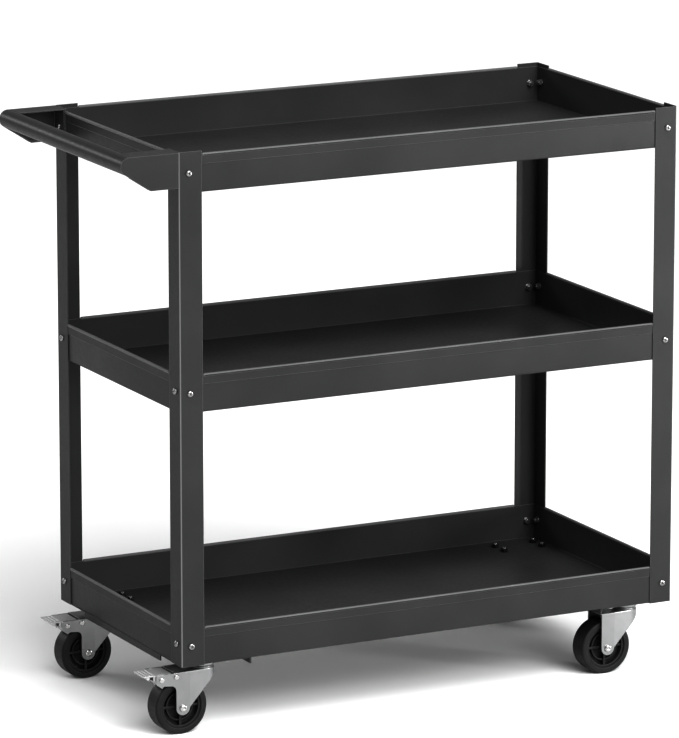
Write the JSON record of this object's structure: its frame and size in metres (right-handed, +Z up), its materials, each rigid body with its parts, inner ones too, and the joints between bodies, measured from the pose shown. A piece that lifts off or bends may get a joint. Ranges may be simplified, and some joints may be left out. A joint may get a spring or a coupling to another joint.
{
  "type": "utility cart",
  "caption": "Steel service cart with lipped trays on corner posts, tubular push handle on pressed brackets, swivel casters, braked at the handle end.",
  "frame": {"origin": "on the floor, under the middle of the overall box", "axes": "+X along the cart from the push handle to the free end, +Y to the rear long side, +Z up"},
  "size_m": [0.8536, 0.406, 0.814],
  "materials": {
    "frame_paint": "satin",
    "fasteners": "bright zinc plated",
    "zinc": "bright zinc plated pressings",
    "balls": "polished",
    "tyre": "satin",
    "wheel_core": "satin"
  },
  "bodies": {
    "cart_frame": {"post_front_left": "frame_paint", "post_rear_left": "frame_paint", "post_front_right": "frame_paint", "post_rear_right": "frame_paint", "top_tray": "frame_paint", "middle_tray": "frame_paint", "bottom_tray": "frame_paint", "tray_screws": "fasteners", "tray_nuts": "fasteners", "tray_washers": "fasteners", "handle_screws": "fasteners", "handle_nuts": "fasteners", "handle_washers": "fasteners", "handle_tube": "frame_paint", "handle_bracket_front": "frame_paint", "handle_bracket_rear": "frame_paint", "caster_rail_left": "frame_paint", "caster_rail_right": "frame_paint", "caster_bolts": "fasteners", "caster_nuts": "fasteners", "kingpins": "zinc", "swivel_balls": "balls", "swivel_plate_front_left": "zinc", "swivel_plate_rear_left": "zinc", "swivel_plate_front_right": "zinc", "swivel_plate_rear_right": "zinc"},
    "swivel_front_left": {"fork_front_left": "zinc", "axle_bolt_front_left": "fasteners", "axle_nut_front_left": "fasteners", "axle_sleeve_front_left": "fasteners", "thrust_washers_front_left": "fasteners", "brake_pins_front_left": "zinc"},
    "wheel_front_left": {"tyre_front_left": "tyre", "wheel_core_front_left": "wheel_core"},
    "brake_pedal_front_left": {"brake_pedal_front_left": "zinc"},
    "brake_shoe_front_left": {"brake_shoe_front_left": "zinc"},
    "swivel_rear_left": {"fork_rear_left": "zinc", "axle_bolt_rear_left": "fasteners", "axle_nut_rear_left": "fasteners", "axle_sleeve_rear_left": "fasteners", "thrust_washers_rear_left": "fasteners", "brake_pins_rear_left": "zinc"},
    "wheel_rear_left": {"tyre_rear_left": "tyre", "wheel_core_rear_left": "wheel_core"},
    "brake_pedal_rear_left": {"brake_pedal_rear_left": "zinc"},
    "brake_shoe_rear_left": {"brake_shoe_rear_left": "zinc"},
    "swivel_front_right": {"fork_front_right": "zinc", "axle_bolt_front_right": "fasteners", "axle_nut_front_right": "fasteners", "axle_sleeve_front_right": "fasteners", "thrust_washers_front_right": "fasteners"},
    "wheel_front_right": {"tyre_front_right": "tyre", "wheel_core_front_right": "wheel_core"},
    "swivel_rear_right": {"fork_rear_right": "zinc", "axle_bolt_rear_right": "fasteners", "axle_nut_rear_right": "fasteners", "axle_sleeve_rear_right": "fasteners", "thrust_washers_rear_right": "fasteners"},
    "wheel_rear_right": {"tyre_rear_right": "tyre", "wheel_core_rear_right": "wheel_core"}
  },
  "joints": [
    {"name": "swivel_front_left_turn", "type": "hinge", "parent": "cart_frame", "child": "swivel_front_left", "pos_m": [-0.29175, -0.1554, 0.09], "axis": [0, 0, 1], "continuous": true},
    {"name": "wheel_front_left_spin", "type": "hinge", "parent": "swivel_front_left", "child": "wheel_front_left", "pos_m": [-0.32875, -0.1554, 0.0385], "axis": [0, 1, 0], "continuous": true},
    {"name": "brake_pedal_front_left_press", "type": "hinge", "parent": "swivel_front_left", "child": "brake_pedal_front_left", "pos_m": [-0.36075, -0.1554, 0.0814], "axis": [0, -1, 0], "range_deg": [0, 15]},
    {"name": "brake_shoe_front_left_press", "type": "hinge", "parent": "swivel_front_left", "child": "brake_shoe_front_left", "pos_m": [-0.33865, -0.1554, 0.0834], "axis": [0, -1, 0], "range_deg": [0, 3.3]},
    {"name": "swivel_rear_left_turn", "type": "hinge", "parent": "cart_frame", "child": "swivel_rear_left", "pos_m": [-0.29175, 0.1554, 0.09], "axis": [0, 0, 1], "continuous": true},
    {"name": "wheel_rear_left_spin", "type": "hinge", "parent": "swivel_rear_left", "child": "wheel_rear_left", "pos_m": [-0.32875, 0.1554, 0.0385], "axis": [0, 1, 0], "continuous": true},
    {"name": "brake_pedal_rear_left_press", "type": "hinge", "parent": "swivel_rear_left", "child": "brake_pedal_rear_left", "pos_m": [-0.36075, 0.1554, 0.0814], "axis": [0, -1, 0], "range_deg": [0, 15]},
    {"name": "brake_shoe_rear_left_press", "type": "hinge", "parent": "swivel_rear_left", "child": "brake_shoe_rear_left", "pos_m": [-0.33865, 0.1554, 0.0834], "axis": [0, -1, 0], "range_deg": [0, 3.3]},
    {"name": "swivel_front_right_turn", "type": "hinge", "parent": "cart_frame", "child": "swivel_front_right", "pos_m": [0.37345, -0.1554, 0.09], "axis": [0, 0, 1], "continuous": true},
    {"name": "wheel_front_right_spin", "type": "hinge", "parent": "swivel_front_right", "child": "wheel_front_right", "pos_m": [0.33645, -0.1554, 0.0385], "axis": [0, 1, 0], "continuous": true},
    {"name": "swivel_rear_right_turn", "type": "hinge", "parent": "cart_frame", "child": "swivel_rear_right", "pos_m": [0.37345, 0.1554, 0.09], "axis": [0, 0, 1], "continuous": true},
    {"name": "wheel_rear_right_spin", "type": "hinge", "parent": "swivel_rear_right", "child": "wheel_rear_right", "pos_m": [0.33645, 0.1554, 0.0385], "axis": [0, 1, 0], "continuous": true}
  ],
  "couplings": [
    {"joint": "brake_shoe_front_left_press", "follows": "brake_pedal_front_left_press", "ratio": 0.2},
    {"joint": "brake_shoe_rear_left_press", "follows": "brake_pedal_rear_left_press", "ratio": 0.2}
  ]
}
